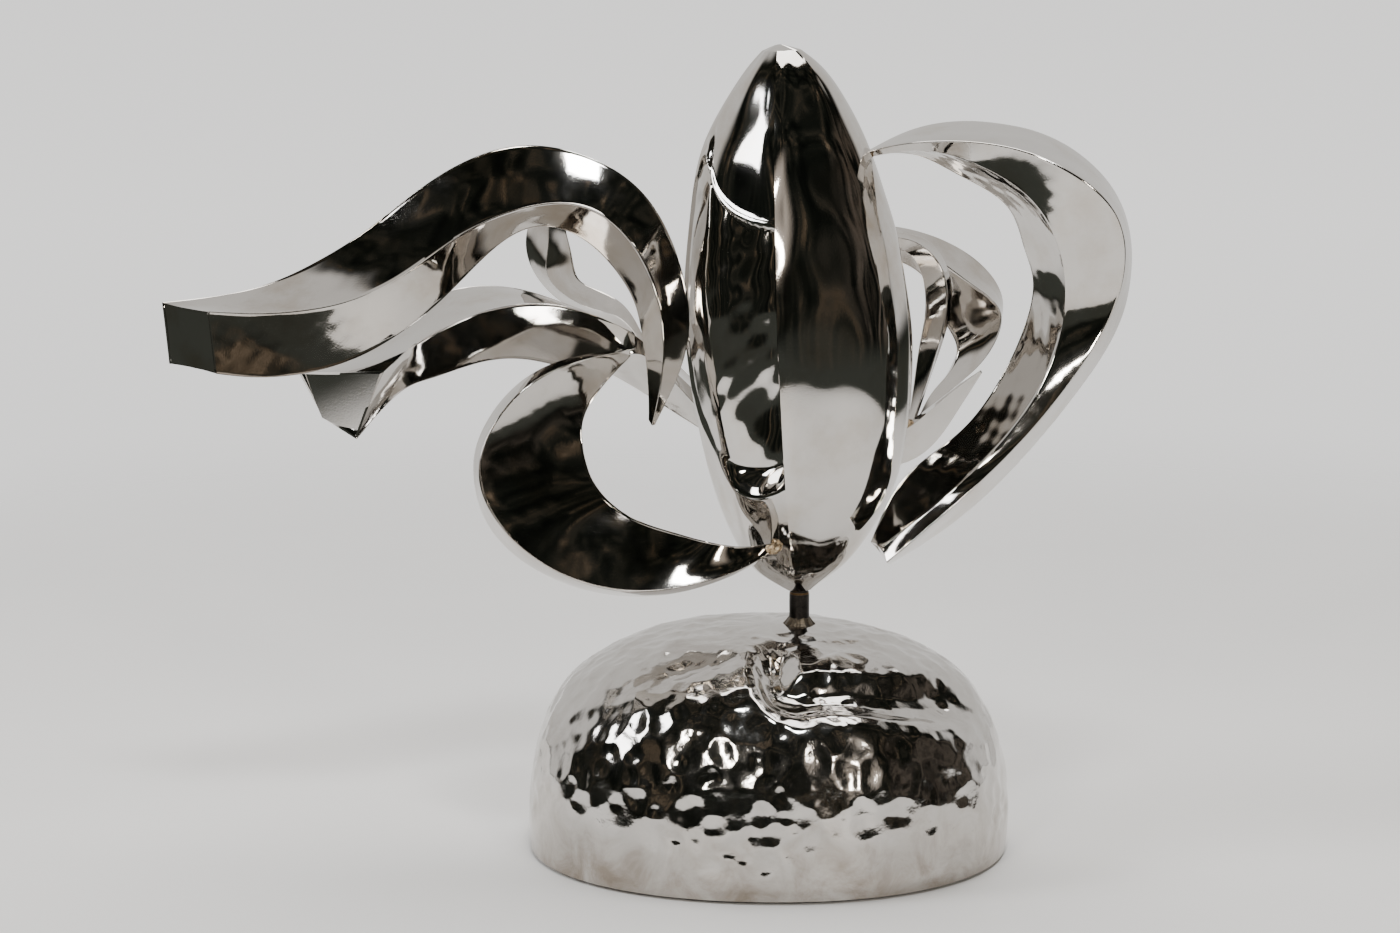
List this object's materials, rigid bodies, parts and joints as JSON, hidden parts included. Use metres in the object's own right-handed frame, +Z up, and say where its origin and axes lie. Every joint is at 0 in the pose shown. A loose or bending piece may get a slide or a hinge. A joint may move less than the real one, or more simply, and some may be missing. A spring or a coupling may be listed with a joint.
{
  "type": "turning abstract metal sculpture",
  "caption": "Abstract polished sheet-steel sculpture: almond core with curved horns and leaves, turning on a slim spindle over a hammered boulder-shaped base.",
  "frame": {"origin": "where the spindle axis meets the flat underside of the base", "axes": "+Z up along the spindle, +X to the right along the widest extent, -Y towards the front viewer"},
  "size_m": [0.525, 0.2388, 0.4461],
  "materials": {
    "polished_steel": "mirror polish",
    "hammered_steel": "hammered and polished",
    "plain_steel": "mill finish",
    "dark_spindle": "blackened",
    "weld_metal": "heat tinted weld",
    "bronze": "machined",
    "felt": "felt"
  },
  "bodies": {
    "base": {"base_shell": "hammered_steel", "base_plate": "plain_steel", "felt_pad": "felt", "spindle": "dark_spindle", "thrust_washer": "bronze", "post_flange": "plain_steel", "post_weld": "weld_metal", "flange_screws": "plain_steel", "gusset_1": "plain_steel", "gusset_2": "plain_steel", "gusset_3": "plain_steel", "gusset_4": "plain_steel"},
    "sculpture": {"core_back_sheet": "polished_steel", "core_front_leaf": "polished_steel", "core_hollow_sheet": "polished_steel", "core_hood": "polished_steel", "core_left_rim": "polished_steel", "core_lower_rib": "plain_steel", "core_side_sheet": "polished_steel", "core_upper_rib": "plain_steel", "crescent_back": "polished_steel", "crescent_front": "polished_steel", "crescent_inner": "polished_steel", "crescent_outer": "polished_steel", "crescent_weld": "weld_metal", "lower_bush": "bronze", "lower_horn_back": "polished_steel", "lower_horn_end_plate": "polished_steel", "lower_horn_front": "polished_steel", "lower_horn_inner": "polished_steel", "lower_horn_outer": "polished_steel", "pivot_tube": "plain_steel", "rear_crescent_back": "polished_steel", "rear_crescent_front": "polished_steel", "rear_crescent_inner": "polished_steel", "rear_crescent_outer": "polished_steel", "rear_weld": "weld_metal", "right_horn_back": "polished_steel", "right_horn_foot_plate": "polished_steel", "right_horn_front": "polished_steel", "right_horn_inner": "polished_steel", "right_horn_outer": "polished_steel", "right_horn_weld": "weld_metal", "slim_leaf_back": "polished_steel", "slim_leaf_front": "polished_steel", "slim_leaf_inner": "polished_steel", "slim_leaf_outer": "polished_steel", "thrust_plug": "bronze", "upper_bush": "bronze", "upper_horn_back": "polished_steel", "upper_horn_end_plate": "polished_steel", "upper_horn_front": "polished_steel", "upper_horn_inner": "polished_steel", "upper_horn_outer": "polished_steel", "wide_leaf_back": "polished_steel", "wide_leaf_front": "polished_steel", "wide_leaf_inner": "polished_steel", "wide_leaf_outer": "polished_steel"}
  },
  "joints": [
    {"name": "spindle_turn", "type": "hinge", "parent": "base", "child": "sculpture", "pos_m": [0, 0, 0.15], "axis": [0, 0, 1], "continuous": true}
  ]
}
